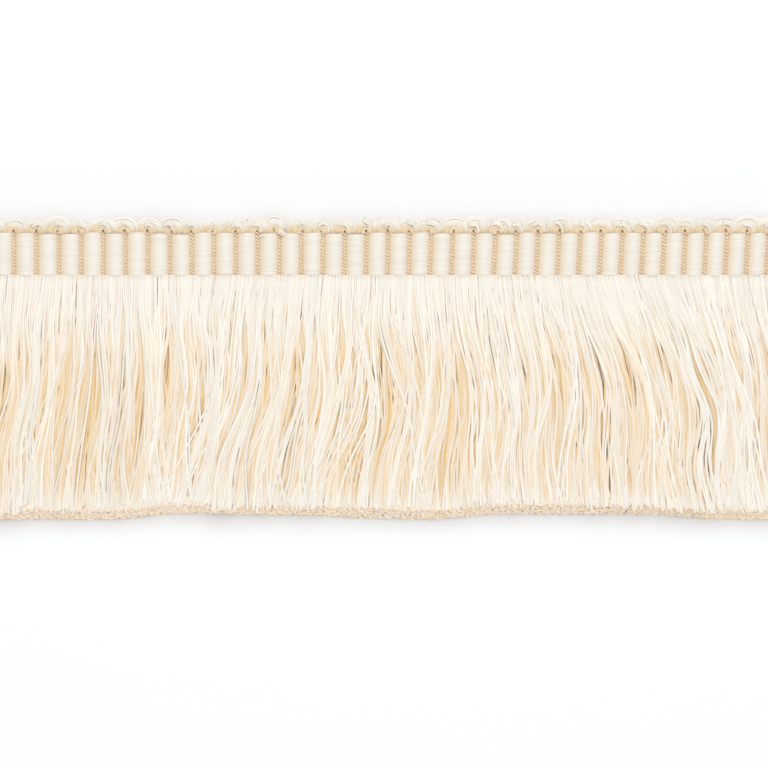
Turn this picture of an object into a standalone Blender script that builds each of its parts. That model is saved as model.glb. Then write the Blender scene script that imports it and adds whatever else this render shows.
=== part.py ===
"""A cut length of brush fringe trim that lies face up on a flat surface.

X runs along the trim, +Y from the cut skirt to the looped edge, and +Z up from the surface.
The origin is the centre of the woven heading's flat back.
"""

import math
import random
from collections import namedtuple

import bmesh
import bpy

MM = 0.001

# Ribs: they are beaten a little closer together towards +X.
RIB_COUNT = 39
FIRST_RIB_PITCH = 3.745 * MM
LAST_RIB_PITCH = 3.436 * MM

# Heading: the woven band, its ribs and the thin binding grooves between them.
HEADING_WIDTH = 7.4 * MM
GROOVE_HEIGHT = 1.1 * MM
RIB_HEIGHT = 2.3 * MM
RIB_END_ROUNDING = 0.35 * MM
RIB_END_SHARE = 0.7

# Looped edge: a row of slanted, overlapping loops, with one loop pulled proud.
PIECE_GAP = 0.3 * MM
LOOP_EDGE_WIDTH = 2.3 * MM
LOOP_HEIGHT = 2.3 * MM
LOOP_DIP = 0.3
LOOP_SLANT = 0.35
RINGS_PER_LOOP = 5
PROUD_LOOP_X = -16.8 * MM
PROUD_LOOP_REACH = 3.2 * MM
PROUD_LOOP_RISE = 0.5 * MM

# Skirt: locks of floss in layers on one root strip, cut at a slant at the tips.
ROOT_STRIP_WIDTH = 1.2 * MM
ROOT_Y = -HEADING_WIDTH / 2 - PIECE_GAP - ROOT_STRIP_WIDTH
LOCKS_PER_LAYER = 72
ROOT_GAP_SHARE = 0.2
LANE_GAP_SHARE = 0.26
CROWN_INSET_SHARE = 0.22
CUT_SLANT = 0.35 * MM
TIP_UNEVENNESS = 0.3 * MM
GATHER_WAVES = ((11.3 * MM, 0.42 * MM), (6.7 * MM, 0.2 * MM))
LOCK_WAVE = 0.1 * MM
LOCK_WAVE_TURNS = 1.3
SEED = 7

# The slanted lean of the locks: two stretches of the skirt's length that lean on their own.
UPPER_LEAN_MIDDLE = 0.25
UPPER_LEAN_REACH = 0.38
LOWER_LEAN_MIDDLE = 0.67
LOWER_LEAN_REACH = 0.26
LEAN_STEPS = 24

Profile = namedtuple("Profile", "across rise")
RIB_PROFILE = (
    Profile(0.10, 0.0),
    Profile(0.17, 0.62),
    Profile(0.37, 1.0),
    Profile(0.63, 1.0),
    Profile(0.83, 0.62),
    Profile(0.90, 0.0),
)
LOOP_PROFILE = (
    Profile(-0.8, 0.0),
    Profile(-1.0, 0.45),
    Profile(-0.6, 0.88),
    Profile(0.0, 1.0),
    Profile(0.6, 0.85),
    Profile(1.0, 0.45),
    Profile(0.8, 0.0),
)

Lean = namedtuple("Lean", "x_mm upper_deg lower_deg")
LEANS = (
    Lean(-70, -2, -6),
    Lean(-56, 0, -16),
    Lean(-38, 1, -11),
    Lean(-22, 0, -18),
    Lean(2, 9, -17),
    Lean(18, 14, -10),
    Lean(34, 20, -2),
    Lean(50, 26, -1),
    Lean(62, 20, -1),
    Lean(70, 14, 0),
)

Cut = namedtuple("Cut", "x_mm reach_mm")
CUTS = (
    Cut(-70, 43.9),
    Cut(-43, 43.8),
    Cut(-31, 42.8),
    Cut(-14, 43.1),
    Cut(3, 43.7),
    Cut(11, 43.8),
    Cut(21, 43.0),
    Cut(47, 43.0),
    Cut(56, 43.7),
    Cut(70, 43.9),
)

LAYER_COLUMNS = "root_mm root_thick_mm tip_mm tip_thick_mm crown_play shorter_mm steps phase"
Layer = namedtuple("Layer", LAYER_COLUMNS)
LAYERS = (
    Layer(0.00, 0.50, 0.0, 1.2, 0.00, 0.0, 3, 0.0),
    Layer(0.75, 0.50, 1.5, 1.2, 0.00, 0.8, 4, 2.6),
    Layer(1.50, 0.50, 3.0, 1.3, 0.25, 1.9, 6, 4.4),
)

Lock = namedtuple("Lock", "layer left right tip_y crown wave_start")


def clear_scene():
    """Removes every object that is already in the file."""
    for old in list(bpy.data.objects):
        bpy.data.objects.remove(old, do_unlink=True)


def material(name, colour, roughness):
    """A cloth material of one linear colour."""
    made = bpy.data.materials.new(name)
    made.use_nodes = True
    shader = made.node_tree.nodes["Principled BSDF"]
    shader.inputs["Base Color"].default_value = (*colour, 1.0)
    shader.inputs["Roughness"].default_value = roughness
    shader.inputs["Metallic"].default_value = 0.0
    return made


def finish(name, mesh, finish_material, smooth_degrees):
    """Turns a bmesh into a named object in the scene."""
    bmesh.ops.recalc_face_normals(mesh, faces=mesh.faces)
    data = bpy.data.meshes.new(name)
    mesh.to_mesh(data)
    mesh.free()
    data.materials.append(finish_material)
    data.shade_smooth()
    data.set_sharp_from_angle(angle=math.radians(smooth_degrees))
    made = bpy.data.objects.new(name, data)
    bpy.context.scene.collection.objects.link(made)
    return made


def between_rows(rows, column, x):
    """A table's column at x, eased smoothly between its rows."""
    if x <= rows[0].x_mm * MM:
        return getattr(rows[0], column)
    for low, high in zip(rows, rows[1:]):
        if x <= high.x_mm * MM:
            share = (x / MM - low.x_mm) / (high.x_mm - low.x_mm)
            eased = share * share * (3 - 2 * share)
            start = getattr(low, column)
            return start + (getattr(high, column) - start) * eased
    return getattr(rows[-1], column)


def rib_edges():
    """The X of every groove's middle, from one cut end to the other, centred on the origin."""
    pitch_step = (LAST_RIB_PITCH - FIRST_RIB_PITCH) / (RIB_COUNT - 1)
    edges = [0.0]
    for rib in range(RIB_COUNT):
        edges.append(edges[-1] + FIRST_RIB_PITCH + rib * pitch_step)
    middle = edges[-1] / 2
    return [edge - middle for edge in edges]


def heading_stations(edges):
    """X and height of the heading's face: the cut ends and each rib's profile."""
    rise = RIB_HEIGHT - GROOVE_HEIGHT
    stations = [(edges[0], GROOVE_HEIGHT)]
    for start, end in zip(edges, edges[1:]):
        for point in RIB_PROFILE:
            stations.append((start + (end - start) * point.across, GROOVE_HEIGHT + rise * point.rise))
    stations.append((edges[-1], GROOVE_HEIGHT))
    return stations


def heading_rows(mesh, stations):
    """The face's rows of points across the band, lower at the ribs' rounded ends."""
    half = HEADING_WIDTH / 2
    inner = half - RIB_END_ROUNDING
    rows = []
    for y, share in ((-half, RIB_END_SHARE), (-inner, 1.0), (inner, 1.0), (half, RIB_END_SHARE)):
        row = []
        for x, height in stations:
            row.append(mesh.verts.new((x, y, GROOVE_HEIGHT + (height - GROOVE_HEIGHT) * share)))
        rows.append(row)
    return rows


def build_heading(edges, cloth):
    """The ribbed band: a flat back, and each rib raised in the face's points."""
    mesh = bmesh.new()
    stations = heading_stations(edges)
    rows = heading_rows(mesh, stations)
    for low, high in zip(rows, rows[1:]):
        for i in range(len(stations) - 1):
            mesh.faces.new((low[i], low[i + 1], high[i + 1], high[i]))
    per_rib = len(RIB_PROFILE)
    splits = [0] + [1 + rib * per_rib for rib in range(1, RIB_COUNT)] + [len(stations) - 1]
    feet = []
    for row in (rows[0], rows[-1]):
        feet.append([mesh.verts.new((row[i].co.x, row[i].co.y, 0.0)) for i in splits])
    for i in range(RIB_COUNT):
        mesh.faces.new((feet[0][i], feet[1][i], feet[1][i + 1], feet[0][i + 1]))
        for side, row in ((0, rows[0]), (1, rows[-1])):
            top = row[splits[i]:splits[i + 1] + 1]
            mesh.faces.new([feet[side][i], *top, feet[side][i + 1]])
    for end in (0, -1):
        mesh.faces.new([feet[0][end], *[row[end] for row in rows], feet[1][end]])
    return finish("heading", mesh, cloth, 50)


def loop_bulge(share, across):
    """From 0 in the dip between two loops to 1 on a loop's back, slanted across the edge."""
    return math.sqrt(abs(math.sin(math.pi * (share + LOOP_SLANT * across))))


def proud_rise(x):
    """How far the one proud loop lifts the edge at x."""
    return PROUD_LOOP_RISE * math.exp(-(((x - PROUD_LOOP_X) / PROUD_LOOP_REACH) ** 2))


def loop_ring(mesh, x, share):
    """One section across the looped edge, flat where it rests."""
    middle = HEADING_WIDTH / 2 + PIECE_GAP + LOOP_EDGE_WIDTH / 2
    ring = []
    for point in LOOP_PROFILE:
        swell = 1 - LOOP_DIP * (1 - loop_bulge(share, point.across)) * point.rise
        outward = proud_rise(x) * point.rise if point.across > 0 else 0.0
        y = middle + point.across * swell * LOOP_EDGE_WIDTH / 2 + outward
        z = point.rise * (LOOP_HEIGHT * swell + proud_rise(x))
        ring.append(mesh.verts.new((x, y, z)))
    return ring


def build_loop_edge(edges, cloth):
    """The looped selvedge, where each floss weft turns back above the ribs."""
    mesh = bmesh.new()
    rings = [loop_ring(mesh, edges[0], 0.0)]
    for start, end in zip(edges, edges[1:]):
        for step in range(1, RINGS_PER_LOOP + 1):
            share = step / RINGS_PER_LOOP
            rings.append(loop_ring(mesh, start + (end - start) * share, share))
    for last, ring in zip(rings, rings[1:]):
        for i in range(len(ring)):
            j = (i + 1) % len(ring)
            mesh.faces.new((last[i], last[j], ring[j], ring[i]))
    mesh.faces.new(rings[0])
    mesh.faces.new(rings[-1])
    return finish("loop_edge", mesh, cloth, 60)


def lean_window(along, middle, reach):
    """A smooth window along the skirt: 1 at its middle, 0 beyond its reach."""
    off = (along - middle) / reach
    return 0.5 * (1 + math.cos(math.pi * off)) if abs(off) < 1 else 0.0


def lean_drift(x, along, length):
    """How far a lock that is rooted at x has leaned along X by this share of its length."""
    upper = math.tan(math.radians(between_rows(LEANS, "upper_deg", x)))
    lower = math.tan(math.radians(between_rows(LEANS, "lower_deg", x)))
    drift = 0.0
    step = along / LEAN_STEPS
    for i in range(LEAN_STEPS):
        here = (i + 0.5) * step
        drift += upper * lean_window(here, UPPER_LEAN_MIDDLE, UPPER_LEAN_REACH) * step
        drift += lower * lean_window(here, LOWER_LEAN_MIDDLE, LOWER_LEAN_REACH) * step
    return drift * length


def gather(x, along, phase):
    """How far neighbouring locks draw together or part by this share of their length."""
    shift = 0.0
    for wavelength, amplitude in GATHER_WAVES:
        shift += amplitude * math.sin(math.tau * x / wavelength + phase)
    return shift * math.sin(math.pi * 0.5 * along)


def place_lock_face(face, lock, along):
    """Moves a newly extruded face to its section of the lock: a level foot and a narrower crown."""
    layer = lock.layer
    centre = face.calc_center_median()
    rise = along * (2 - along)
    foot = (layer.root_mm + (layer.tip_mm - layer.root_mm) * rise) * MM
    thick = (layer.root_thick_mm + (layer.tip_thick_mm - layer.root_thick_mm) * rise) * MM
    inset = CROWN_INSET_SHARE * (lock.right - lock.left)
    wave = LOCK_WAVE * along * math.sin(math.tau * (LOCK_WAVE_TURNS * along + lock.wave_start))
    length = ROOT_Y - lock.tip_y
    for vert in face.verts:
        crown = vert.co.z > centre.z
        side = lock.left if vert.co.x < centre.x else lock.right
        inward = inset if vert.co.x < centre.x else -inset
        x = side + (inward if crown else 0.0)
        swept = x + lean_drift(x, along, length) + gather(x, along, layer.phase) + wave
        y = ROOT_Y - length * along + (CUT_SLANT * along if crown else 0.0)
        vert.co = (swept, y, foot + (thick * lock.crown if crown else 0.0))


def root_grid(mesh, edges):
    """The root strip's front: rows of cells, with a lock's root in every second cell."""
    pitch = (edges[-1] - edges[0]) / LOCKS_PER_LAYER
    gap = pitch * ROOT_GAP_SHARE
    xs = []
    for lock in range(LOCKS_PER_LAYER):
        left = edges[0] + lock * pitch
        xs += [left + gap / 2, left + pitch - gap / 2]
    zs = []
    for layer in LAYERS:
        zs += [layer.root_mm * MM, (layer.root_mm + layer.root_thick_mm) * MM]
    grid = [[mesh.verts.new((x, ROOT_Y, z)) for x in xs] for z in zs]
    roots = {}
    for row in range(len(zs) - 1):
        for column in range(len(xs) - 1):
            low, high = grid[row], grid[row + 1]
            face = mesh.faces.new((low[column], low[column + 1], high[column + 1], high[column]))
            if row % 2 == 0 and column % 2 == 0:
                roots[row // 2, column // 2] = face
    return grid, roots


def close_strip(mesh, grid):
    """The root strip's top, underside, back and ends."""
    back_y = ROOT_Y + ROOT_STRIP_WIDTH
    backs = [[mesh.verts.new((v.co.x, back_y, v.co.z)) for v in grid[row]] for row in (0, -1)]
    for front, back in ((grid[0], backs[0]), (grid[-1], backs[1]), (backs[0], backs[1])):
        for i in range(len(front) - 1):
            mesh.faces.new((front[i], front[i + 1], back[i + 1], back[i]))
    for end in (0, -1):
        mesh.faces.new([*[row[end] for row in grid], backs[1][end], backs[0][end]])


def plan_lock(left, pitch, layer, uneven):
    """One lock's lane at its root, its cut tip and its own small unevenness."""
    gap = pitch * LANE_GAP_SHARE
    reach = between_rows(CUTS, "reach_mm", left) - layer.shorter_mm
    return Lock(
        layer=layer,
        left=left + gap / 2,
        right=left + pitch - gap / 2,
        tip_y=uneven.uniform(-TIP_UNEVENNESS, TIP_UNEVENNESS) - reach * MM,
        crown=1 + uneven.uniform(-layer.crown_play, layer.crown_play),
        wave_start=uneven.random(),
    )


def grow_lock(mesh, root, lock):
    """Extrudes one lock from its root cell to its cut tip."""
    face = root
    for step in range(1, lock.layer.steps + 1):
        face = bmesh.ops.extrude_discrete_faces(mesh, faces=[face])["faces"][0]
        place_lock_face(face, lock, step / lock.layer.steps)


def build_fringe(edges, cloth):
    """The skirt: locks that stand apart, fused at their roots into one narrow strip."""
    uneven = random.Random(SEED)
    mesh = bmesh.new()
    grid, roots = root_grid(mesh, edges)
    close_strip(mesh, grid)
    pitch = (edges[-1] - edges[0]) / LOCKS_PER_LAYER
    for (row, column), root in roots.items():
        grow_lock(mesh, root, plan_lock(edges[0] + column * pitch, pitch, LAYERS[row], uneven))
    return finish("fringe", mesh, cloth, 40)


def main():
    """Builds the heading, its looped edge and the cut skirt."""
    clear_scene()
    edges = rib_edges()
    build_heading(edges, material("ribbed_heading_weave", (0.86, 0.77, 0.62), 0.5))
    build_loop_edge(edges, material("selvedge_loop_floss", (0.88, 0.78, 0.62), 0.45))
    build_fringe(edges, material("skirt_floss", (0.90, 0.82, 0.67), 0.42))


main()
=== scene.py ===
"""Looks of a cut brush fringe trim: a ribbed woven heading, its looped edge and a cut floss skirt.

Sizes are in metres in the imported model's frame: X runs along the trim, +Y from the cut tips to the
looped edge, and +Z up from the surface. The origin is the centre of the heading's flat back.

In names, a play is how unevenly a thing was made, and a zone is the stretch of a strand, as shares
from 0 at its root to 1 at its tip, over which a change takes place.
"""

import logging
import math
from dataclasses import dataclass
from enum import Enum

import bpy
import numpy as np
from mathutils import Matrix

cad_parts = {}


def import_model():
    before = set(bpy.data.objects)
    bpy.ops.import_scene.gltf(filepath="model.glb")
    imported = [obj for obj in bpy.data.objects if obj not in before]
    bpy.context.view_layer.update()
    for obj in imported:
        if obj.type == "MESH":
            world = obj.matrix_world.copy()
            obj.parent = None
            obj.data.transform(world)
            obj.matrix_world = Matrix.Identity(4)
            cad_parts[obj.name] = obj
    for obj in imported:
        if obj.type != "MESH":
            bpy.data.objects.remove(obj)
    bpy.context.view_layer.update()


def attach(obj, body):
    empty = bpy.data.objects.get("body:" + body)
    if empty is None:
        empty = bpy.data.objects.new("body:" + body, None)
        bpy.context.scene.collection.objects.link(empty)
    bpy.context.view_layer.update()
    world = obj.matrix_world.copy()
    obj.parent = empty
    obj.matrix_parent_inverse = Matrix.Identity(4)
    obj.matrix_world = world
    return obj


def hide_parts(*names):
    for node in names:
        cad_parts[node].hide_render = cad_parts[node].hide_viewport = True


MM = 0.001
BODY = "root"
LOG = logging.getLogger("trim")
Span = tuple[float, float]


def smooth(low: float | np.ndarray, high: float | np.ndarray, value: np.ndarray) -> np.ndarray:
    """Eases from 0 at low to 1 at high.

    Args:
        low: The value at which the easing starts.
        high: The value at which it is complete.
        value: The values to ease.

    Returns:
        The eased share for each value.
    """
    share = np.clip((np.asarray(value, float) - low) / (high - low), 0.0, 1.0)
    return share * share * (3 - 2 * share)


@dataclass(frozen=True)
class Lean:
    """The skirt's lean in degrees at one place along the trim, from its root down to its tip."""

    x_mm: float
    degrees: tuple[float, ...]


@dataclass(frozen=True)
class Cut:
    """How far below the heading's middle the shears ran at one place along the trim."""

    x_mm: float
    reach_mm: float


@dataclass(frozen=True)
class TrimLayout:
    """The sizes that all the sub-assemblies share, as woven and cut."""

    rib_count: int = 39
    first_rib_pitch: float = 3.745 * MM
    last_rib_pitch: float = 3.436 * MM
    heading_half: float = 3.7 * MM
    lean_stops: tuple[float, ...] = (0.1, 0.27, 0.45, 0.7, 0.9)
    leans: tuple[Lean, ...] = (
        Lean(-70, (-2, 0, -3, -6, 0)),
        Lean(-56, (-6, 0, -6, -13, -1)),
        Lean(-45, (-1, 2, -4, -11, 3)),
        Lean(-34, (0, 4, -1, -8, -5)),
        Lean(-24, (-8, 2, -1, -16, -13)),
        Lean(-13, (-6, -2, -6, -16, -2)),
        Lean(-3, (-3, 6, 3, -15, -6)),
        Lean(8, (0, 10, 7, -12, -1)),
        Lean(19, (4, 8, 7, -9, 3)),
        Lean(29, (8, 14, 9, -5, 7)),
        Lean(39, (14, 22, 15, 0, 6)),
        Lean(49, (18, 27, 17, -1, 9)),
        Lean(60, (8, 15, 12, 1, 7)),
        Lean(70, (5, 10, 8, 0, 2)),
    )
    cuts: tuple[Cut, ...] = (
        Cut(-70, 43.9),
        Cut(-43, 43.8),
        Cut(-31, 42.8),
        Cut(-14, 43.1),
        Cut(3, 43.7),
        Cut(11, 43.8),
        Cut(21, 43.0),
        Cut(47, 43.0),
        Cut(56, 43.7),
        Cut(70, 43.9),
    )

    def grooves(self) -> np.ndarray:
        """Finds the X of every groove's middle, from one cut end to the other.

        Returns:
            One X for each groove, centred on the origin.
        """
        pitches = np.linspace(self.first_rib_pitch, self.last_rib_pitch, self.rib_count)
        edges = np.concatenate([[0.0], np.cumsum(pitches)])
        return edges - edges[-1] / 2

    def eased(self, rows: tuple[Lean, ...] | tuple[Cut, ...], column: str, x: np.ndarray) -> np.ndarray:
        """Reads a table's column at each X, eased between its rows.

        Args:
            rows: The table, with an x_mm on each row.
            column: The name of the column.
            x: Where to read it.

        Returns:
            The column's value, or row of values, at each X.
        """
        places = np.array([row.x_mm for row in rows]) * MM
        values = np.array([getattr(row, column) for row in rows], float)
        row = np.clip(np.searchsorted(places, x) - 1, 0, len(rows) - 2)
        share = smooth(places[row], places[row + 1], x)
        share = share.reshape(-1, *[1] * (values.ndim - 1))
        return values[row] + (values[row + 1] - values[row]) * share

    def drift(self, x: np.ndarray, along: np.ndarray, length: float) -> np.ndarray:
        """Finds how far strands rooted at each X have leaned along the trim.

        Args:
            x: The strands' roots.
            along: Shares of the skirt's length.
            length: The skirt's length.

        Returns:
            A row for each strand and a column for each share.
        """
        leans = np.tan(np.radians(self.eased(self.leans, "degrees", x)))
        fine = np.linspace(0, 1, 101)
        areas = []
        for stop in np.eye(len(self.lean_stops)):
            area = np.cumsum(np.interp(fine, self.lean_stops, stop)) / len(fine)
            areas.append(np.interp(along, fine, area))
        return leans @ np.array(areas) * length


def linear(colour: str) -> tuple[float, float, float, float]:
    """Turns an sRGB hex colour to linear.

    Args:
        colour: Six hex digits after a hash.

    Returns:
        Linear red, green, blue and full alpha.
    """
    parts = [int(colour[i:i + 2], 16) / 255 for i in (1, 3, 5)]
    toned = [c / 12.92 if c <= 0.04045 else ((c + 0.055) / 1.055) ** 2.4 for c in parts]
    return (*toned, 1.0)


def add_node(
    tree: bpy.types.NodeTree, kind: str, inputs: dict | None = None, **settings: object
) -> bpy.types.Node:
    """Adds a node with its settings and links.

    Args:
        tree: The material's node tree.
        kind: The node's type name.
        inputs: For each input's name or number, a value or the output that feeds it.
        settings: The node's own properties.

    Returns:
        The new node.
    """
    node = tree.nodes.new(kind)
    for name, value in settings.items():
        setattr(node, name, value)
    for name, value in (inputs or {}).items():
        if isinstance(value, bpy.types.NodeSocket):
            tree.links.new(value, node.inputs[name])
        else:
            node.inputs[name].default_value = value
    return node


# A Mix node's colour sockets by number, because its socket names repeat.
MIX_FIRST = 6
MIX_SECOND = 7
MIX_RESULT = 2


@dataclass(frozen=True)
class YarnFinish:
    """What both finishes share: colours laid in by attributes, and the soft sheen of viscose."""

    name: str
    roughness: float = 0.4
    sheen: float = 0.25
    sheen_spread: float = 0.4

    def dye(self, base: str, tints: tuple[str, ...], play: float) -> bpy.types.Material:
        """Starts the material: its colours, and a tone of its own for each end.

        Args:
            base: The colour where no tint shows.
            tints: The fields that hold tints, each laid in by the mesh attribute of its name.
            play: How much darker the darkest end is than the lightest.

        Returns:
            The material.
        """
        made = bpy.data.materials.new(self.name)
        made.use_nodes = True
        tree = made.node_tree
        colour = linear(base)
        for name in tints:
            share = add_node(tree, "ShaderNodeAttribute", attribute_name=name)
            tint = linear(getattr(self, name))
            mix = {0: share.outputs["Fac"], MIX_FIRST: colour, MIX_SECOND: tint}
            colour = add_node(tree, "ShaderNodeMix", mix, data_type="RGBA").outputs[MIX_RESULT]
        tone = add_node(tree, "ShaderNodeAttribute", attribute_name="tone")
        tones = {"Value": tone.outputs["Fac"], "To Min": 1 - play, "To Max": 1.0}
        shade = add_node(tree, "ShaderNodeMapRange", tones)
        mix = {0: 1.0, MIX_FIRST: colour, MIX_SECOND: shade.outputs["Result"]}
        toned = add_node(tree, "ShaderNodeMix", mix, data_type="RGBA", blend_type="MULTIPLY")
        shader = tree.nodes["Principled BSDF"]
        tree.links.new(toned.outputs[MIX_RESULT], shader.inputs["Base Color"])
        shader.inputs["Roughness"].default_value = self.roughness
        shader.inputs["Sheen Weight"].default_value = self.sheen
        shader.inputs["Sheen Roughness"].default_value = self.sheen_spread
        return made


@dataclass(frozen=True)
class FlossFinish(YarnFinish):
    """Untwisted viscose floss, spun smooth and bright.

    The eye sees near-white crests with a silky sheen, honey-warm depths, and matt ends, tan in their
    own shade, where the shears cut across the filaments. The honey-warm depths are painted shade, laid
    in by the depth attribute to stand in for light that passes from strand to strand.
    """

    crest: str = "#F5EFE4"
    # The colour of the painted shade in the floss's depths.
    depth: str = "#EBC68A"
    cut: str = "#F9E9D6"
    strand_play: float = 0.11
    filament_streak: float = 0.11 * MM
    filament_run: float = 2.4 * MM
    filament_height: float = 0.03 * MM
    filament_strength: float = 0.25
    roughness: float = 0.42
    sheen: float = 0.35

    def make(self) -> bpy.types.Material:
        """Builds the floss material from the strands' depth (painted shade), tone and cut attributes.

        Returns:
            The material.
        """
        made = self.dye(self.crest, ("depth", "cut"), self.strand_play)
        self.add_filaments(made.node_tree)
        return made

    def add_filaments(self, tree: bpy.types.NodeTree) -> None:
        """Gives the floss the fine streaks of its filaments, drawn coarser than real to show.

        Args:
            tree: The material's node tree.
        """
        place = add_node(tree, "ShaderNodeTexCoord").outputs["Object"]
        scale = (1 / self.filament_streak, 1 / self.filament_run, 1 / self.filament_streak)
        stretched = add_node(tree, "ShaderNodeMapping", {"Vector": place, "Scale": scale})
        noise = {"Vector": stretched.outputs["Vector"], "Scale": 1.0, "Detail": 1.0}
        streaks = add_node(tree, "ShaderNodeTexNoise", noise).outputs["Fac"]
        relief = {"Height": streaks, "Strength": self.filament_strength, "Distance": self.filament_height}
        bump = add_node(tree, "ShaderNodeBump", relief)
        tree.links.new(bump.outputs["Normal"], tree.nodes["Principled BSDF"].inputs["Normal"])


@dataclass(frozen=True)
class WeaveFinish(YarnFinish):
    """Warp-faced ottoman weave in viscose: satin warp floats drawn tight over each rib.

    The eye sees smooth ivory ribs with a soft highlight down each crown and faint lines where the warp
    ends meet. The flanks carry painted shade, peach on one side and rosy on the other, the grooves
    painted ochre shade, and the top of each groove a dark spot of painted shade.
    """

    crown: str = "#E8E3D8"
    # Painted shade: warm and cool for the ribs' two flanks, ochre for the grooves, and dark brown for the
    # spot at each groove's top.
    warm_flank_shade: str = "#E5D3B7"
    cool_flank_shade: str = "#E9DAC7"
    groove: str = "#E6C290"
    hole_shade: str = "#8A5A2C"
    end_play: float = 0.05

    def make(self) -> bpy.types.Material:
        """Builds the weave material from the face's tone attribute and its flank, groove and hole
        attributes, which lay in painted shade.
        """
        return self.dye(self.crown, ("warm_flank_shade", "cool_flank_shade", "groove", "hole_shade"), self.end_play)


def add_piece(
    name: str,
    points: np.ndarray,
    faces: np.ndarray,
    finish: bpy.types.Material,
    values: dict[str, np.ndarray],
) -> bpy.types.Object:
    """Adds a piece made of many small things as one mesh that rides on the trim.

    Args:
        name: The piece's name.
        points: Its points.
        faces: The numbers of each face's points.
        finish: Its material.
        values: For each attribute that the material reads, its value at each point.

    Returns:
        The piece.
    """
    mesh = bpy.data.meshes.new(name)
    mesh.from_pydata(points, [], faces, shade_flat=False)
    for key, kept in values.items():
        attribute = mesh.attributes.new(key, "FLOAT", "POINT")
        attribute.data.foreach_set("value", kept.astype(np.float32))
    mesh.materials.append(finish)
    piece = bpy.data.objects.new(name, mesh)
    bpy.context.scene.collection.objects.link(piece)
    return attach(piece, BODY)


class TubeBatch:
    """Strands gathered into one joined mesh, each a closed tube with its own values."""

    def __init__(self, corners_deg: tuple[float, ...], flatness: float, painted_underside_shade: float) -> None:
        """Starts an empty batch.

        Args:
            corners_deg: Where each tube's section has its corners, as angles from its +side.
            flatness: Its height to its width.
            painted_underside_shade: How much deeper a tube's underside counts for its colour than its crest.
        """
        self.turn = np.radians(corners_deg)
        self.sides = len(corners_deg)
        self.flatness = flatness
        # How much more painted shade a tube's underside gets than its crest.
        self.painted_underside_shade = painted_underside_shade
        self.points: list[np.ndarray] = []
        self.faces: list[np.ndarray] = []
        self.flat: list[np.ndarray] = []
        # A point's depth is its share of painted shade; tone and cut give the strand's own colour.
        self.values: dict[str, list[np.ndarray]] = {"depth": [], "tone": [], "cut": []}
        self.count = 0

    def across(self, paths: np.ndarray) -> tuple[np.ndarray, np.ndarray]:
        """Carries a frame along each path with the least turning.

        Args:
            paths: Strands by steps by three.

        Returns:
            The sideways and the upward direction at each point.
        """
        tangent = np.gradient(paths, axis=1)
        tangent /= np.linalg.norm(tangent, axis=2, keepdims=True)
        side = np.cross(tangent[:, 0], (0.0, 0.0, 1.0))
        sides = []
        for step in range(paths.shape[1]):
            here = tangent[:, step]
            side = side - (side * here).sum(1, keepdims=True) * here
            side = side / np.linalg.norm(side, axis=1, keepdims=True)
            sides.append(side)
        sideways = np.stack(sides, 1)
        return sideways, np.cross(sideways, tangent)

    def add(
        self, paths: np.ndarray, radii: np.ndarray, end_slants: np.ndarray, **values: np.ndarray
    ) -> None:
        """Adds a tube along each path.

        Args:
            paths: Strands by steps by three.
            radii: Strands by steps.
            end_slants: How far each cut end leans along Y for each metre of height.
            values: Strands by steps for each of depth (the share of painted shade), tone and cut.
        """
        strands, steps, _ = paths.shape
        sideways, upward = self.across(paths)
        ring = sideways[:, :, None] * np.cos(self.turn)[:, None]
        ring = ring + upward[:, :, None] * (np.sin(self.turn) * self.flatness)[:, None]
        ring = ring * radii[:, :, None, None]
        ring[:, -1, :, 1] += ring[:, -1, :, 2] * end_slants[:, None]
        points = paths[:, :, None] + ring
        first = self.count + np.arange(strands)[:, None, None] * steps * self.sides
        here = first + np.arange(steps - 1)[:, None] * self.sides + np.arange(self.sides)
        there = np.roll(here, -1, axis=-1)
        walls = np.stack([here, here + self.sides, there + self.sides, there], -1)
        caps = []
        for k in range(self.sides // 2 - 1):
            corners = np.array([0, 2 * k + 1, 2 * k + 2, 2 * k + 3])
            caps.append(first.reshape(-1, 1) + corners)
            caps.append(first.reshape(-1, 1) + (steps - 1) * self.sides + corners[::-1])
        self.faces += [walls.reshape(-1, 4), *caps]
        under = (np.sin(self.turn) < 0) & (np.roll(np.sin(self.turn), -1) < 0)
        self.flat += [np.tile(under, strands * (steps - 1)), np.ones(len(caps) * strands, bool)]
        self.points.append(points.reshape(-1, 3))
        for name, kept in self.values.items():
            spread = np.repeat(values[name][:, :, None], self.sides, axis=2)
            # The underside corners get extra painted shade.
            if name == "depth":
                spread = np.minimum(spread + self.painted_underside_shade * (np.sin(self.turn) < 0), 1)
            kept.append(spread.reshape(-1))
        self.count += strands * steps * self.sides

    def build(self, name: str, finish: bpy.types.Material) -> bpy.types.Object:
        """Makes the joined mesh.

        Args:
            name: The piece's name.
            finish: Its material.

        Returns:
            The piece, riding on the trim.
        """
        values = {key: np.concatenate(kept) for key, kept in self.values.items()}
        piece = add_piece(name, np.concatenate(self.points), np.concatenate(self.faces), finish, values)
        sharp = piece.data.attributes.new("sharp_face", "BOOLEAN", "FACE")
        sharp.data.foreach_set("value", np.concatenate(self.flat))
        return piece


class Ply(Enum):
    """The skirt's layers of floss, from the surface it lies on up to its face."""

    UNDER = "skirt_under"
    MIDDLE = "skirt_middle"
    FACE = "skirt_face"


@dataclass(frozen=True)
class Locks:
    """How strands cling together in locks.

    The values are the locks' mean width, the share by which they draw in, their sway, their spread
    of lean in degrees, how far they and their edges sink as a share of the skirt's thickness, and
    how unevenly they were cut.
    """

    width: float
    gather: float
    sway: float
    lean: float
    sink: float
    cut_play: float


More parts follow.
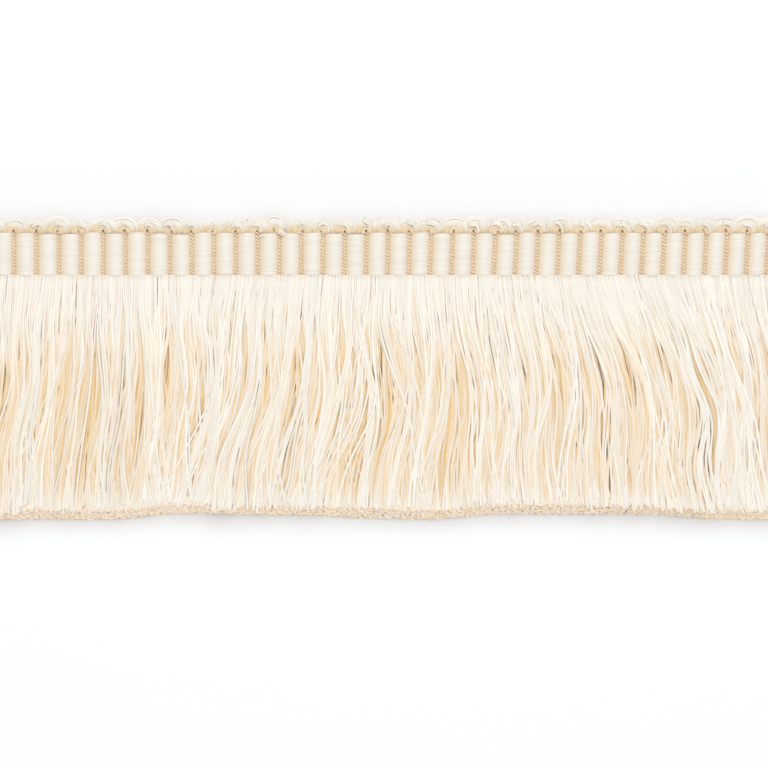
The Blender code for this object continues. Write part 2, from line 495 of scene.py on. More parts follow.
@dataclass(frozen=True)
class PlyPlan:
    """How one layer of the skirt is made up.

    Low and high are the shares of the skirt's thickness between which it lies, bulk the strands'
    thickness to the usual one, bloom how much they swell where they are cut, tip_play how unevenly,
    looseness how much each strays from its neighbours, depth_play how unevenly the painted shade of
    the depths falls on them, stray_share the share of strands that wander off, and root_bias how
    closely the steps crowd at the roots.
    """

    ply: Ply
    strands: int
    steps: int
    low: float
    high: float
    locks: tuple[Locks, ...]
    bulk: float
    bloom: float
    tip_play: float
    looseness: float = 1.0
    depth_play: float = 0.15
    stray_share: float = 0.0
    root_bias: float = 1.0


UNDER_LOCKS = Locks(3.4 * MM, 0.02, 0.05 * MM, 0.0, 0.0, 0.0)
MIDDLE_LOCKS = Locks(1.3 * MM, 0.5, 0.25 * MM, 3.2, 0.01, 0.1 * MM)
FACE_WISPS = Locks(0.95 * MM, 0.75, 0.15 * MM, 4.2, 0.0115, 0.2 * MM)
FACE_LOCKS = Locks(2.9 * MM, 0.3, 0.4 * MM, 1.5, 0.01, 0.4 * MM)


@dataclass
class CutSkirt:
    """The skirt: weft floss that hangs below the ribs, gathered in wavy locks and cut at a slant."""

    layout: TrimLayout
    plans: tuple[PlyPlan, ...] = (
        PlyPlan(
            Ply.UNDER, strands=4500, steps=5, low=0.04, high=0.94, locks=(UNDER_LOCKS,), bulk=1.05,
            bloom=0.35, tip_play=0.08 * MM, looseness=0.18, depth_play=0.25, root_bias=1.6,
        ),
        PlyPlan(
            Ply.MIDDLE, strands=1500, steps=14, low=0.91, high=0.955, locks=(MIDDLE_LOCKS,), bulk=1.0,
            bloom=0.3, tip_play=0.12 * MM, stray_share=0.05,
        ),
        PlyPlan(
            Ply.FACE, strands=1150, steps=20, low=0.955, high=1.0, locks=(FACE_WISPS, FACE_LOCKS),
            bulk=1.05, bloom=0.2, tip_play=0.25 * MM, stray_share=0.12,
        ),
    )
    root_y: float = -3.38 * MM
    root_height: float = 2.0 * MM
    crest_height: float = 4.1 * MM
    tip_height: float = 3.8 * MM
    strand_radius: float = 0.25 * MM
    section_deg: tuple[float, ...] = (55, 125, 205, 335)
    flatness: float = 0.52
    cut_slope: float = 0.52
    end_tilt: Span = (0.5, 2.2)
    cut_foot: float = 0.5 * MM
    cut_start: float = 0.99
    length: float = 40.0 * MM
    filling_zone: Span = (0.0, 0.42)
    settling_zone: Span = (0.6, 1.0)
    lock_widths: Span = (0.45, 1.55)
    lock_gathers: Span = (0.4, 1.3)
    lock_peaks: Span = (0.45, 0.85)
    gather_zone: Span = (0.05, 1.0)
    most_gather: float = 0.85
    tip_release: float = 0.35
    bow_play: float = 0.5
    swing_play: float = 0.65
    swing_zone: Span = (0.2, 1.0)
    lock_wave: float = 0.8
    sink_zone: Span = (0.05, 0.4)
    wave_turns: Span = (0.5, 2.5)
    wave_zone: Span = (0.0, 0.25)
    wave: float = 0.25 * MM
    ripple: float = 0.05 * MM
    side_gap: float = 0.2 * MM
    root_play: float = 0.3 * MM
    level_play: float = 0.1
    scatter: float = 0.618
    own_lean: float = 1.8
    lean_start: float = 0.1
    lean_growth: float = 1.3
    strand_sizes: Span = (0.75, 1.2)
    root_size: float = 0.7
    root_zone: Span = (0.02, 0.4)
    bloom_zone: Span = (0.93, 1.0)
    # Painted shade in the skirt: extra on each strand's underside, growing with a strand's depth below the
    # skirt's top, uneven from strand to strand, fading in from the roots, and lighter at the tips and
    # towards the trim's two ends.
    painted_underside_shade: float = 0.9
    depth_range: Span = (0.01, 0.1)
    depth_zone: Span = (-0.1, 0.5)
    tip_zone: Span = (0.88, 1.0)
    tip_paleness: float = 0.75
    side_depth: float = 0.3
    side_reach: float = 2.0 * MM
    stray_reach: float = 2.8 * MM
    stray_starts: Span = (0.02, 0.5)
    stray_lift: float = 0.1 * MM
    stray_zone: Span = (0.1, 0.4)
    overhang: float = 1.0 * MM
    seed: int = 41
    finish: FlossFinish = FlossFinish("skirt_viscose_floss")

    def heights(self, along: np.ndarray) -> np.ndarray:
        """Gives the skirt's thickness at each share of its length: low roots, a full body."""
        body = self.root_height + (self.crest_height - self.root_height) * smooth(*self.filling_zone, along)
        return body + (self.tip_height - self.crest_height) * smooth(*self.settling_zone, along)

    def fan(self, along: np.ndarray) -> np.ndarray:
        """Gives how far a lean of one carries a strand at each share: none while its root is bound."""
        return self.length * np.maximum(along - self.lean_start, 0) ** self.lean_growth

    def draw_in(
        self, locks: Locks, rng: np.random.Generator, x: np.ndarray, along: np.ndarray
    ) -> tuple[np.ndarray, np.ndarray, np.ndarray]:
        """Draws strands together in locks of uneven width that sway on their own.

        Args:
            locks: The kind of lock.
            rng: The layer's own random draws.
            x: The strands' roots.
            along: Shares of the skirt's length.

        Returns:
            How far each strand moves along X at each share, how much lower it lies there, and how
            much further it reaches.
        """
        ends = self.layout.grooves()[[0, -1]]
        count = int(2 * (ends[1] - ends[0]) / locks.width)
        borders = np.cumsum(rng.uniform(*self.lock_widths, count)) * locks.width
        borders = ends[0] + np.append(0.0, borders)
        lock = np.searchsorted(borders, x) - 1
        middle = ((borders[:-1] + borders[1:]) / 2)[lock]
        edge = (2 * (x - middle) / np.diff(borders)[lock])[:, None] ** 2
        gather = (rng.uniform(*self.lock_gathers, count) * locks.gather)[lock][:, None]
        peak = rng.uniform(*self.lock_peaks, count)[lock][:, None]
        bow = (rng.normal(0, self.bow_play, count) * locks.sway)[lock][:, None]
        swing = (rng.normal(0, self.swing_play, count) * locks.sway)[lock][:, None]
        drawn = smooth(*self.gather_zone, along / peak) * (1 - self.tip_release * smooth(peak, 1, along))
        shift = -(x - middle)[:, None] * np.minimum(gather, self.most_gather) * drawn
        shift = shift + bow * np.sin(np.pi * along) ** 2 + swing * smooth(*self.swing_zone, along)
        lean = np.tan(np.radians(rng.normal(0, locks.lean, count)))[lock][:, None]
        shift = shift + lean * self.fan(along)
        shift = shift + self.waves(rng, count, along)[lock] * locks.sway * self.lock_wave
        sunk = locks.sink * (edge + rng.uniform(0, 2, count)[lock][:, None])
        return shift, sunk * smooth(*self.sink_zone, along), rng.normal(0, locks.cut_play, count)[lock]

    def waves(self, rng: np.random.Generator, count: int, along: np.ndarray) -> np.ndarray:
        """Draws gentle waves, about 1 high, that fade in below the roots.

        Args:
            rng: The layer's own random draws.
            count: How many waves to draw.
            along: Shares of the skirt's length.

        Returns:
            A row for each wave and a column for each share.
        """
        turns = rng.uniform(*self.wave_turns, (count, 1))
        starts = rng.uniform(0, 1, (count, 1))
        # Gamma draws of mean 1, so that most waves are low and a few are high.
        size = rng.gamma(2.0, 0.5, (count, 1)) / np.sqrt(turns)
        return size * np.sin(2 * np.pi * (turns * along + starts)) * smooth(*self.wave_zone, along)

    def paths(self, plan: PlyPlan, rng: np.random.Generator) -> tuple[np.ndarray, ...]:
        """Works out a layer's strands.

        Args:
            plan: The layer.
            rng: The layer's own random draws.

        Returns:
            The paths, the radii, and the depth (painted shade), tone and cut values of each point.
        """
        left, right = self.layout.grooves()[[0, -1]]
        strands, loose = plan.strands, plan.looseness
        along = np.append(np.linspace(0, 1, plan.steps) ** plan.root_bias * self.cut_start, 1.0)
        gap = self.side_gap
        x = np.linspace(left + gap, right - gap, strands)
        x = x + rng.uniform(-self.root_play, self.root_play, strands) * loose
        x = np.clip(x, left + gap / 2, right - gap / 2)
        spread = np.arange(strands) * self.scatter
        spread = (spread + rng.uniform(-self.level_play, self.level_play, strands) * loose) % 1
        level = plan.low + (plan.high - plan.low) * spread[:, None]
        swept = x[:, None] + self.layout.drift(x, along, self.length)
        further = np.zeros(strands)
        for locks in plan.locks:
            shift, drop, reach = self.draw_in(locks, rng, x, along)
            swept, level, further = swept + shift, level - drop, further + reach
        own = np.tan(np.radians(rng.normal(0, self.own_lean * loose, (strands, 1))))
        swept = swept + own * self.fan(along)
        swept = swept + self.waves(rng, strands, along) * self.wave * loose

        stray = (rng.random(strands) < plan.stray_share)[:, None]
        reach = rng.uniform(-1, 1, (strands, 1)) * self.stray_reach
        kick = rng.uniform(*self.stray_starts, (strands, 1))
        swept = swept + stray * reach * smooth(kick, 1, along)
        ends = np.array([left, right])
        first, last = ends[:, None] + self.layout.drift(ends, along, self.length)
        swept = np.clip(swept, first - self.overhang, last + self.overhang)

        height = self.heights(along) * level + self.waves(rng, strands, along) * self.ripple * loose
        height = height + stray * self.stray_lift * smooth(*self.stray_zone, along)
        radii = self.strand_radius * plan.bulk * rng.uniform(*self.strand_sizes, (strands, 1))
        radii = radii * (self.root_size + (1 - self.root_size) * smooth(*self.root_zone, along))
        radii = radii * (1 + plan.bloom * smooth(*self.bloom_zone, along))
        height = np.maximum(height, radii * self.flatness)

        tip_y = -self.cut_reach(swept[:, -1]) + self.cut_slope * (height[:, -1] - self.cut_foot)
        tip_y = tip_y - further + rng.normal(0, plan.tip_play, strands)
        y = self.root_y + (tip_y - self.root_y)[:, None] * along
        # Painted shade: heavier the deeper a strand lies below the skirt's top, uneven from strand to
        # strand, fading in from the roots, and lighter at the tips and near the trim's two ends.
        painted_shade = smooth(*self.depth_range, 1 - height / self.heights(along))
        painted_shade = np.clip(painted_shade + rng.normal(0, plan.depth_play, (strands, 1)), 0, 1)
        painted_shade = painted_shade * smooth(*self.depth_zone, along)
        inward = np.minimum(x - left, right - x)[:, None]
        painted_shade = painted_shade * (1 - self.tip_paleness * smooth(*self.tip_zone, along))
        painted_shade = painted_shade * (self.side_depth + (1 - self.side_depth) * smooth(0, self.side_reach, inward))
        tone = np.broadcast_to(rng.random((strands, 1)), swept.shape)
        cut = smooth(self.cut_start, 1, along) * rng.random((strands, 1))
        return np.stack([swept, y, height], -1), radii, painted_shade, tone, cut

    def cut_reach(self, x: np.ndarray) -> np.ndarray:
        """Gives the shears' line at each X, in metres below the heading's middle."""
        return self.layout.eased(self.layout.cuts, "reach_mm", x) * MM

    def build(self) -> list[bpy.types.Object]:
        """Makes the skirt's layers.

        Returns:
            One piece for each layer.
        """
        pieces = []
        finish = self.finish.make()
        for number, plan in enumerate(self.plans):
            rng = np.random.default_rng(self.seed + number)
            paths, radii, painted_shade, tone, cut = self.paths(plan, rng)
            batch = TubeBatch(self.section_deg, self.flatness, self.painted_underside_shade)
            slants = self.cut_slope * rng.uniform(*self.end_tilt, plan.strands)
            batch.add(paths, radii, slants, depth=painted_shade, tone=tone, cut=cut)
            piece = batch.build(plan.ply.value, finish)
            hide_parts("fringe")
            LOG.info("%s: %d strands", piece.name, plan.strands)
            pieces.append(piece)
        return pieces


@dataclass(frozen=True)
class Stray:
    """A flat bundle that has worked loose: its ends, the bow between them and its breadth there."""

    start_mm: Span
    bow_mm: Span
    end_mm: Span
    breadth_mm: float
    height_mm: float
    strands: int


@dataclass
class LoopedEdge:
    """The looped selvedge: each floss weft leaves a rib, arches over the groove and turns back."""

    layout: TrimLayout
    strands: int = 10
    steps: int = 14
    strand_radius: float = 0.26 * MM
    section_deg: tuple[float, ...] = (30, 90, 150, 210, 270, 330)
    flatness: float = 0.75
    # Extra painted shade on the strands' undersides.
    painted_underside_shade: float = 0.5
    base_y: float = 3.45 * MM
    outer_rise: float = 2.5 * MM
    inner_rise: float = 0.85 * MM
    outer_span: float = 0.66
    inner_span: float = 0.12
    narrowing: float = 0.25
    narrow_zone: Span = (0.4, 1.0)
    fullness: float = 0.52
    middle_play: float = 0.2 * MM
    slant_reach: float = 0.5 * MM
    side_play: float = 0.06 * MM
    rise_play: float = 0.07
    top_play: float = 0.05 * MM
    loop_sizes: Span = (0.85, 1.08)
    strand_sizes: Span = (0.75, 1.1)
    low_z: float = 1.6 * MM
    crest_z: float = 1.95 * MM
    lie_play: float = 0.03 * MM
    roll_start: float = 0.15
    roll_reach: float = 0.62
    roll_sag: float = 0.25
    over_place: float = 0.8
    over_length: float = 0.15
    over_lift: float = 0.22 * MM
    # Painted shade on the loops: its most, near the heading, and the outward reach over which it fades.
    deepest_shade: float = 0.85
    depth_range: Span = (0.35, 0.75)
    tie_share: float = 0.85
    tie_strands: tuple[int, int] = (2, 5)
    tie_mm: tuple[Span, ...] = ((-0.7, 1.4), (-0.1, 1.9), (0.9, 1.5), (1.1, 0.2))
    tie_play_mm: float = 0.2
    tie_feet_mm: Span = (0.5, 1.4)
    tie_spacing: float = 0.22 * MM
    tie_lift: float = 0.42 * MM
    strays: tuple[Stray, ...] = (
        Stray((-20.2, 5.7), (-18.9, 5.7), (-17.1, 3.8), 1.1, 2.0, 6),
        Stray((-18.1, 3.05), (-17.2, 3.2), (-16.4, 3.2), 0.5, 2.3, 4),
        Stray((-15.2, 4.3), (-14.4, 3.5), (-13.2, 3.15), 0.7, 2.3, 5),
        Stray((-15.5, 5.7), (-14.2, 5.6), (-13.9, 4.4), 0.7, 2.1, 5),
    )
    stray_bulk: float = 0.6
    end_inset: float = 0.65
    loose_groove_x: float = -14.9 * MM
    loose_shift: float = -0.7 * MM
    loose_pitch: float = 0.85
    loose_size: float = 1.2
    seed: int = 12
    # Its depth colour is the beige painted shade on the loops' lower parts.
    finish: FlossFinish = FlossFinish("selvedge_viscose_floss", crest="#EEE9DF", depth="#E8CFA6")

    def arch(
        self, middle: float, pitch: float, size: float, rng: np.random.Generator
    ) -> tuple[np.ndarray, ...]:
        """Works out the strands of one loop, nested from its inner to its outer side.

        Args:
            middle: The X of the groove that the loop arches over.
            pitch: The rib pitch there.
            size: The loop's height to the usual one.
            rng: The edge's random draws.

        Returns:
            The strands' paths and each point's share of painted shade.
        """
        nest = np.linspace(0, 1, self.strands)[:, None]
        along = np.linspace(0, 1, self.steps + 1)
        each = (self.strands, 1)
        middle = middle + rng.normal(0, self.middle_play)
        slant = rng.uniform(-self.slant_reach, self.slant_reach)
        span = (self.inner_span + (self.outer_span - self.inner_span) * nest) * pitch
        rise = (self.inner_rise + (self.outer_rise - self.inner_rise) * nest) * size
        arc = np.sin(np.pi * along) ** self.fullness
        narrow = 1 - rng.uniform(0, self.narrowing) * smooth(*self.narrow_zone, along)
        x = middle - span * np.cos(np.pi * along) * narrow + rng.normal(0, self.side_play, each)
        x = x + slant * arc * nest
        rise = rise * (1 + rng.normal(0, self.rise_play, each))
        y = self.base_y + rise * arc + rng.normal(0, self.top_play, each)
        bulge = np.sin(np.pi * (self.roll_start + self.roll_reach * nest)) * (1 - self.roll_sag * (1 - arc))
        over = np.exp(-(((along - self.over_place) / self.over_length) ** 2)) * self.over_lift
        z = self.low_z + (self.crest_z - self.low_z) * bulge + over
        z = z + rng.normal(0, self.lie_play, each)
        # Painted shade, heaviest near the heading and fading outwards: mostly by height, with a little for
        # a strand's place in the nest and for its turned-back side.
        outward = 0.82 * (y - self.base_y) / self.outer_rise + 0.18 * nest + 0.2 * (along - 0.5)
        painted_shade = self.deepest_shade * (1 - smooth(*self.depth_range, outward))
        return np.stack([x, y, z], -1), painted_shade + 0 * x

    def tie(self, middle: float, rng: np.random.Generator) -> tuple[np.ndarray, ...]:
        """Works out the pale strands that curl over a loop and down beside its groove.

        Args:
            middle: The X of the groove that the loop arches over.
            rng: The edge's random draws.

        Returns:
            The strands' paths and each point's share of painted shade.
        """
        count = int(rng.integers(*self.tie_strands))
        t = np.linspace(0, 1, self.steps + 1)[None, :, None]
        hooks = np.array(self.tie_mm) + rng.normal(0, self.tie_play_mm, (4, 2))
        hooks[3, 0] = rng.uniform(*self.tie_feet_mm)
        shares = ((1 - t) ** 3, 3 * t * (1 - t) ** 2, 3 * t**2 * (1 - t), t**3)
        curve = sum(share * hook for share, hook in zip(shares, hooks)) * MM
        row = (np.arange(count) * self.tie_spacing + rng.normal(0, self.lie_play, count))[:, None, None]
        # Side by side at the top, the strands draw together towards the foot, where they sink from sight.
        curve = curve + row * (1 - 0.6 * t) * np.array([0.5, 1.0]) + (middle, self.base_y)
        rise = np.sin(np.pi * (0.1 + 0.9 * t[..., 0]))
        z = self.crest_z + self.tie_lift * rise + 0 * curve[..., 0]
        # The painted shade is light at the top and heavier towards the foot.
        return np.concatenate([curve, z[..., None]], -1), 0.1 + 0.4 * t[..., 0] ** 3 + 0 * z

    def stray(self, bundle: Stray, rng: np.random.Generator) -> tuple[np.ndarray, ...]:
        """Works out the strands of a bundle that has worked loose.

        Args:
            bundle: Where it runs.
            rng: The edge's random draws.

        Returns:
            The strands' paths and each point's share of painted shade.
        """
        along = np.linspace(0, 1, self.steps + 1)[None, :, None]
        start, bow, end = (np.array(p) * MM for p in (bundle.start_mm, bundle.bow_mm, bundle.end_mm))
        middle = (1 - along) ** 2 * start + 2 * along * (1 - along) * bow + along**2 * end
        nest = np.linspace(-0.5, 0.5, bundle.strands)[:, None, None]
        lift = np.sin(np.pi * along)
        flat = middle + nest * bundle.breadth_mm * MM * lift * np.array([0.2, 1.0])
        flat = flat + rng.normal(0, self.lie_play, (bundle.strands, 1, 2))
        # Highest in its middle, with painted shade that is lightest on the side towards which it bows.
        domed = lift[..., 0] * (1 - nest[..., 0] ** 2)
        z = bundle.height_mm * MM * (0.8 + 0.2 * domed) + 0 * flat[..., 0]
        outward = np.sign(bundle.bow_mm[1] - bundle.end_mm[1])
        painted_shade = np.clip(0.3 - outward * nest[..., 0], 0, 1) + 0 * z
        return np.concatenate([flat, z[..., None]], -1), painted_shade

    def build(self) -> bpy.types.Object:
        """Makes the whole looped edge as one piece.

        Returns:
            The piece.
        """
        rng = np.random.default_rng(self.seed)
        grooves = self.layout.grooves()
        pitches = np.diff(grooves)
        batch = TubeBatch(self.section_deg, self.flatness, self.painted_underside_shade)
        runs = []
        for i, groove in enumerate(grooves):
            pitch = pitches[min(i, len(pitches) - 1)]
            if abs(groove - self.loose_groove_x) < pitch / 2:
                middle = groove + self.loose_shift
                runs.append(self.arch(middle, pitch * self.loose_pitch, self.loose_size, rng))
                continue
            inward = self.end_inset * pitch * ((i == 0) - (i == len(grooves) - 1))
            runs.append(self.arch(groove + inward, pitch, rng.uniform(*self.loop_sizes), rng))
            if 0 < i < len(grooves) - 1 and rng.random() < self.tie_share:
                runs.append(self.tie(groove, rng))
        loops = len(runs)
        runs.extend(self.stray(bundle, rng) for bundle in self.strays)
        for number, (path, painted_shade) in enumerate(runs):
            bulk = 1.0 if number < loops else self.stray_bulk
            radii = np.full(path.shape[:2], self.strand_radius * bulk)
            radii = radii * rng.uniform(*self.strand_sizes, (len(path), 1))
            pale = np.clip(1 - painted_shade, 0, 1)
            tone = 0.5 + (rng.random((len(path), 1)) - 0.5) * pale
            square_ends = np.zeros(len(path))
            batch.add(path, radii, square_ends, depth=painted_shade, tone=tone, cut=0 * radii)
        piece = batch.build("edge_loops", self.finish.make())
        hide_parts("loop_edge")
        LOG.info("%s: %d bundles", piece.name, len(runs))
        return piece


@dataclass
class WovenHeading:
    """The heading: a warp-faced woven tape whose thick wefts raise ribs, with binding stitches."""

    layout: TrimLayout
    tape_width: float = 10.1 * MM
    warp_ends: int = 18
    samples_per_end: int = 5
    samples_per_rib: int = 20
    edge_rows: int = 3
    groove_share: float = 0.045
    crown_fullness: float = 0.6
    tape_height: float = 0.45 * MM
    shelf_height: float = 1.55 * MM
    groove_height: float = 1.5 * MM
    rib_height: float = 2.25 * MM
    end_relief: float = 0.03 * MM
    line_depths: Span = (0.3, 1.7)
    line_sharpness: int = 5
    level_play: float = 0.012 * MM
    rib_play: float = 0.03
    tuck_play: float = 0.09 * MM
    tuck_start: float = 0.6
    rib_end: float = 0.3 * MM
    rib_lean: float = 3.2
    lean_run: Span = (-30 * MM, 45 * MM)
    shelf_width: float = 0.5 * MM
    # Where painted shade lies: across each groove's mouth, over the ribs' two flanks, on the tape's edge
    # beyond the ribs, and in a dark spot at each groove's top.
    groove_band: Span = (0.06 * MM, 0.22 * MM)
    warm_band: Span = (0.05, 0.58)
    cool_band: Span = (0.05, 0.42)
    edge_start: float = -0.1 * MM
    edge_full: float = 0.3 * MM
    hole_above: float = 0.3 * MM
    hole_width: float = 0.25 * MM
    hole_length: float = 0.5 * MM
    crease_deg: float = 50.0
    stitches: int = 13
    stitch_half: float = 0.29 * MM
    stitch_radius: float = 0.11 * MM
    stitch_turn: float = 45.0
    stitch_z: float = 1.85 * MM
    stitch_sag: float = 0.15 * MM
    stitch_waist: float = 0.8
    stitch_plumpness: float = 0.9
    stitch_play: float = 0.2
    stitch_stray: float = 0.02 * MM
    stitch_sizes: Span = (0.9, 1.1)
    seed: int = 5
    finish: WeaveFinish = WeaveFinish("ottoman_woven_viscose")
    # Viscose sewing thread. Plump, tight and set deep, it gives the eye ochre beads of uneven tone.
    thread: WeaveFinish = WeaveFinish("binding_viscose_thread", crown="#F8E7C8", end_play=0.1)

    def lean_shift(self, x: np.ndarray, y: np.ndarray) -> np.ndarray:
        """Gives how far the ribs' lower ends sit towards -X, more so towards the +X end."""
        lean = np.tan(np.radians(self.rib_lean)) * smooth(*self.lean_run, x)
        return -lean * (self.layout.heading_half - y)

    def stations(self) -> tuple[np.ndarray, np.ndarray]:
        """Finds the tape's grid lines.

        Returns:
            The share of the way through the ribs for each column, and each row's Y.
        """
        columns = np.linspace(0, self.layout.rib_count, self.layout.rib_count * self.samples_per_rib + 1)
        half = self.layout.heading_half
        inner = np.linspace(-half, half, self.warp_ends * self.samples_per_end + 1)
        outer = np.linspace(half, self.tape_width / 2, self.edge_rows + 1)[1:]
        return columns, np.concatenate([-outer[::-1], inner, outer])

    def rib_rise(self, share: np.ndarray) -> np.ndarray:
        """Gives the rib's height share across one pitch, from 0 in the groove to 1 on the crown."""
        inside = np.clip((share - self.groove_share) / (1 - 2 * self.groove_share), 0, 1)
        return np.clip(1 - (2 * inside - 1) ** 2, 0, 1) ** self.crown_fullness

    def surface(self, columns: np.ndarray, rows: np.ndarray) -> tuple[np.ndarray, dict[str, np.ndarray]]:
        """Works out the tape's face.

        Args:
            columns: The share of the way through the ribs for each column.
            rows: Each row's Y.

        Returns:
            Points by row and column, and the values that colour them, painted shade among them.
        """
        rng = np.random.default_rng(self.seed)
        grooves = self.layout.grooves()
        half = self.layout.heading_half
        rib = np.minimum(columns.astype(int), self.layout.rib_count - 1)
        share = columns - rib
        x = grooves[rib] + share * np.diff(grooves)[rib]
        end_pitch = 2 * half / self.warp_ends
        end = np.clip(((rows + half) / end_pitch).astype(int), 0, self.warp_ends - 1)
        within = (rows + half) / end_pitch - end
        each = (self.warp_ends, self.layout.rib_count)
        depth = rng.uniform(*self.line_depths, each)[end][:, rib]
        level = rng.normal(0, self.level_play, each)[end][:, rib]
        tall = 1 + rng.normal(0, self.rib_play, self.layout.rib_count)[rib]
        tuck = rng.normal(0, self.tuck_play, (2, self.layout.rib_count))

        rise = self.rib_rise(share) * tall
        relief = self.end_relief * depth * (np.abs(2 * within - 1) ** self.line_sharpness)[:, None]
        z = self.groove_height + (self.rib_height - self.groove_height) * rise - relief + level
        down = rows[:, None]
        out = np.abs(down)
        inside = smooth(0, self.rib_end, half - out)
        drop = smooth(half + self.shelf_width, self.tape_width / 2, out)
        shelf = self.shelf_height + (self.tape_height - self.shelf_height) * drop
        z = shelf + (z - shelf) * np.sqrt(inside)
        pull = smooth(self.tuck_start * half, half, out)
        y = down + pull * np.where(down > 0, tuck[1][rib], tuck[0][rib])
        placed = x + self.lean_shift(x, np.clip(y, -half, half))
        # Painted shade: ochre in each groove's mouth, warm and cool down the ribs' two flanks, warm on the
        # tape's edge beyond the ribs in place of the groove's, and a dark spot at each groove's top.
        mouth = np.minimum(share, 1 - share) * np.diff(grooves)[rib]
        groove = 1 - smooth(*self.groove_band, mouth + 0 * z)
        near = 1 - smooth(*self.warm_band, share) + 0 * z
        far = 1 - smooth(*self.cool_band, 1 - share) + 0 * z
        above = (down - half - self.hole_above) / self.hole_length
        hole_shade = np.exp(-((mouth / self.hole_width) ** 2) - above**2)
        edge = smooth(half + self.edge_start, half + self.edge_full, out)
        values = {
            "warm_flank_shade": np.maximum(near, edge),
            "cool_flank_shade": far,
            "groove": groove * (1 - edge),
            "hole_shade": hole_shade,
            "tone": rng.random(each)[end][:, rib],
        }
        return np.stack([placed, y + 0 * z, z], -1), values

    def weave_tape(self) -> bpy.types.Object:
        """Makes the tape: a grid shaped to the woven face, with its rim drawn down to a flat back.

        Returns:
            The tape.
        """
        columns, rows = self.stations()
        points, values = self.surface(columns, rows)
        bpy.ops.mesh.primitive_grid_add(
            x_subdivisions=len(columns) - 1, y_subdivisions=len(rows) - 1, size=1
        )
        tape = bpy.context.object
        tape.name = tape.data.name = "woven_heading"
        grid = np.empty(len(tape.data.vertices) * 3)
        tape.data.vertices.foreach_get("co", grid)
        grid = grid.reshape(-1, 3)
        column = np.rint((grid[:, 0] + 0.5) * (len(columns) - 1)).astype(int)
        row = np.rint((grid[:, 1] + 0.5) * (len(rows) - 1)).astype(int)
        tape.data.vertices.foreach_set("co", points[row, column].ravel())
        for name, value in values.items():
            kept = np.ascontiguousarray(value[row, column], np.float32)
            tape.data.attributes.new(name, "FLOAT", "POINT").data.foreach_set("value", kept)
        bpy.ops.object.mode_set(mode="EDIT")
        bpy.ops.mesh.select_mode(type="EDGE")
        bpy.ops.mesh.select_all(action="DESELECT")
        bpy.ops.mesh.select_non_manifold()
        bpy.ops.mesh.extrude_region_move()
        bpy.ops.transform.resize(value=(1, 1, 0), center_override=(0, 0, 0))
        bpy.ops.mesh.edge_face_add()
        bpy.ops.mesh.select_all(action="SELECT")
        bpy.ops.mesh.normals_make_consistent(inside=False)
        bpy.ops.object.mode_set(mode="OBJECT")
        bpy.ops.object.shade_smooth_by_angle(angle=math.radians(self.crease_deg))
        tape.data.materials.append(self.finish.make())
        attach(tape, BODY)
        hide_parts("heading")
        LOG.info("%s: %d ribs", tape.name, self.layout.rib_count)
        return tape

    def shape_stitch(self) -> tuple[np.ndarray, np.ndarray]:
        """Shapes one binding stitch from a ball: drawn long, sagging between plump ends, and turned.

        Returns:
            Its points, and its faces as triangles.
        """
        bpy.ops.mesh.primitive_ico_sphere_add(subdivisions=2, radius=1)
        stitch = bpy.context.object
        points = np.array([v.co[:] for v in stitch.data.vertices])
        faces = np.array([list(f.vertices) for f in stitch.data.polygons])
        bpy.data.objects.remove(stitch)
        end = points[:, 1] ** 2
        round_off = np.sqrt(np.clip(1 - end**3, 0, 1)) / np.sqrt(np.clip(1 - end, 1e-6, 1))
        plump = self.stitch_radius * round_off * (self.stitch_waist + self.stitch_plumpness * end)
        shaped = np.stack([points[:, 0] * plump, points[:, 1] * self.stitch_half, points[:, 2] * plump], -1)
        shaped[:, 2] += self.stitch_sag * end
        turn = math.radians(self.stitch_turn)
        across = shaped[:, 0] * math.cos(turn) - shaped[:, 1] * math.sin(turn)
        down = shaped[:, 0] * math.sin(turn) + shaped[:, 1] * math.cos(turn)
        return np.stack([across, down, shaped[:, 2]], -1), faces

    def bind(self) -> bpy.types.Object:
        """Sets a column of slanting binding stitches in every groove.

        Returns:
            All the stitches as one piece.
        """
        rng = np.random.default_rng(self.seed + 1)
        half = self.layout.heading_half
        step = 2 * half / self.stitches
        places = []
        for groove in self.layout.grooves()[1:-1]:
            shift = 0.5 + rng.uniform(-self.stitch_play, self.stitch_play)
            y = -half + (np.arange(self.stitches) + shift) * step
            x = groove + self.lean_shift(np.full(len(y), groove), y)
            places.append(np.stack([x, y, np.full(len(y), self.stitch_z)], -1))
        places = np.concatenate(places)
        places = places + rng.normal(0, self.stitch_stray, places.shape)
        stitch, faces = self.shape_stitch()
        grown = rng.uniform(*self.stitch_sizes, (len(places), 1, 1))
        points = (places[:, None] + stitch[None] * grown).reshape(-1, 3)
        joined = (np.arange(len(places))[:, None, None] * len(stitch) + faces[None]).reshape(-1, 3)
        tone = np.repeat(rng.random(len(places)), len(stitch))
        piece = add_piece("binding_stitches", points, joined, self.thread.make(), {"tone": tone})
        LOG.info("%s: %d stitches", piece.name, len(places))
        return piece


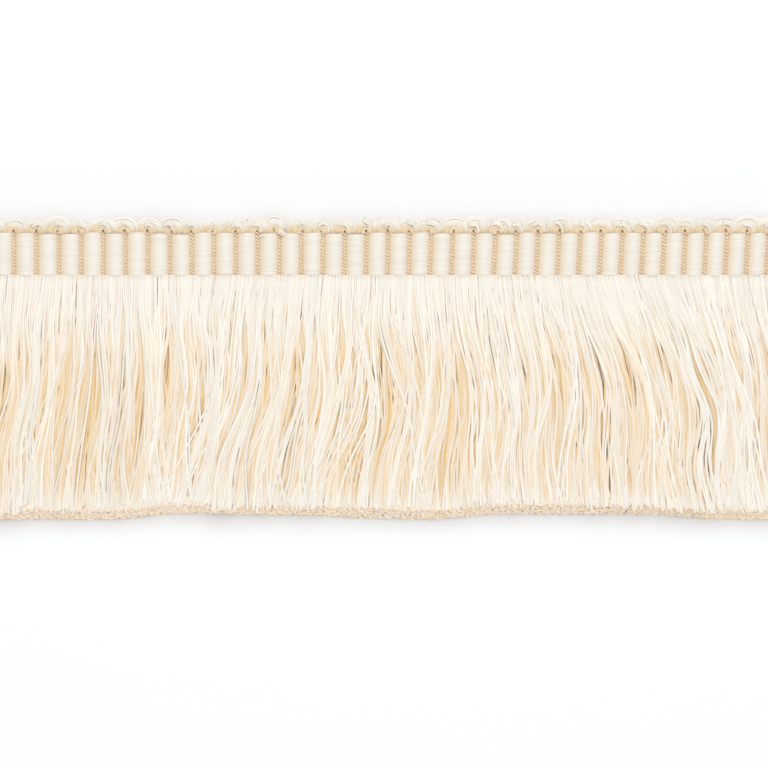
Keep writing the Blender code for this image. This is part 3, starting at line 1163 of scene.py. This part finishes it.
@dataclass(frozen=True)
class Studio:
    """A plain pale floor, soft light from beyond the looped edge, and the camera straight above."""

    pixels: int = 768
    pixels_per_metre: float = 6020.0
    aim_x: float = 2.68 * MM
    aim_y: float = -21.5 * MM
    aim_z: float = 1.8 * MM
    camera_height: float = 0.75
    sensor: float = 36.0
    near_clip: float = 0.01
    far_clip: float = 10.0
    floor_size: float = 4.0
    floor_colour: str = "#F1F3F4"
    floor_roughness: float = 0.9
    floor_shine: float = 0.1
    sky_colour: str = "#FCFDFF"
    sky: float = 0.7
    key_power: float = 3.6
    key_size: Span = (0.7, 0.7)
    key_place: tuple[float, float, float] = (0.05, 0.37, 0.66)
    fill_power: float = 1.8
    fill_size: Span = (0.7, 0.2)
    fill_place: tuple[float, float, float] = (-0.1, -0.72, 0.11)

    def lay_floor(self) -> None:
        """Lays the pale floor that the trim rests on."""
        bpy.ops.mesh.primitive_plane_add(size=self.floor_size)
        floor = bpy.context.object
        floor.name = "floor"
        # Uncoated white card gives the eye an even pale ground, with soft shade and no shine.
        made = bpy.data.materials.new("matt_white_card")
        made.use_nodes = True
        shader = made.node_tree.nodes["Principled BSDF"]
        shader.inputs["Base Color"].default_value = linear(self.floor_colour)
        shader.inputs["Roughness"].default_value = self.floor_roughness
        shader.inputs["Specular IOR Level"].default_value = self.floor_shine
        floor.data.materials.append(made)

    def hang_lights(self) -> None:
        """Sets an even pale surround, one large soft light and a low, weaker one facing it."""
        world = bpy.data.worlds.new("studio")
        world.use_nodes = True
        surround = world.node_tree.nodes["Background"]
        surround.inputs["Color"].default_value = linear(self.sky_colour)
        surround.inputs["Strength"].default_value = self.sky
        bpy.context.scene.world = world
        for name, power, size, place in (
            ("softbox", self.key_power, self.key_size, self.key_place),
            ("reflector", self.fill_power, self.fill_size, self.fill_place),
        ):
            light = bpy.data.lights.new(name, "AREA")
            light.shape = "RECTANGLE"
            light.size, light.size_y = size
            light.energy = power
            lamp = bpy.data.objects.new(name, light)
            lamp.location = place
            lamp.rotation_mode = "QUATERNION"
            lamp.rotation_quaternion = lamp.location.normalized().to_track_quat("Z", "Y")
            bpy.context.scene.collection.objects.link(lamp)

    def set_camera(self) -> None:
        """Sets the camera straight above, with the photograph's frame and scale."""
        camera = bpy.data.objects.new("camera", bpy.data.cameras.new("camera"))
        width = self.pixels / self.pixels_per_metre
        camera.data.sensor_width = self.sensor
        camera.data.lens = self.sensor * (self.camera_height - self.aim_z) / width
        camera.location = (self.aim_x, self.aim_y, self.camera_height)
        camera.data.clip_start, camera.data.clip_end = self.near_clip, self.far_clip
        bpy.context.scene.collection.objects.link(camera)
        bpy.context.scene.camera = camera
        bpy.context.scene.view_settings.view_transform = "Standard"


def main() -> None:
    """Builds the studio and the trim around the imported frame, and reports each piece."""
    logging.basicConfig(level=logging.INFO, format="%(message)s")
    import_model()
    bpy.ops.object.select_all(action="DESELECT")
    studio = Studio()
    studio.set_camera()
    studio.lay_floor()
    studio.hang_lights()
    layout = TrimLayout()
    heading = WovenHeading(layout)
    tape = heading.weave_tape()
    stitches = heading.bind()
    loops = LoopedEdge(layout).build()
    skirt = CutSkirt(layout).build()


if __name__ == "__main__":
    main()
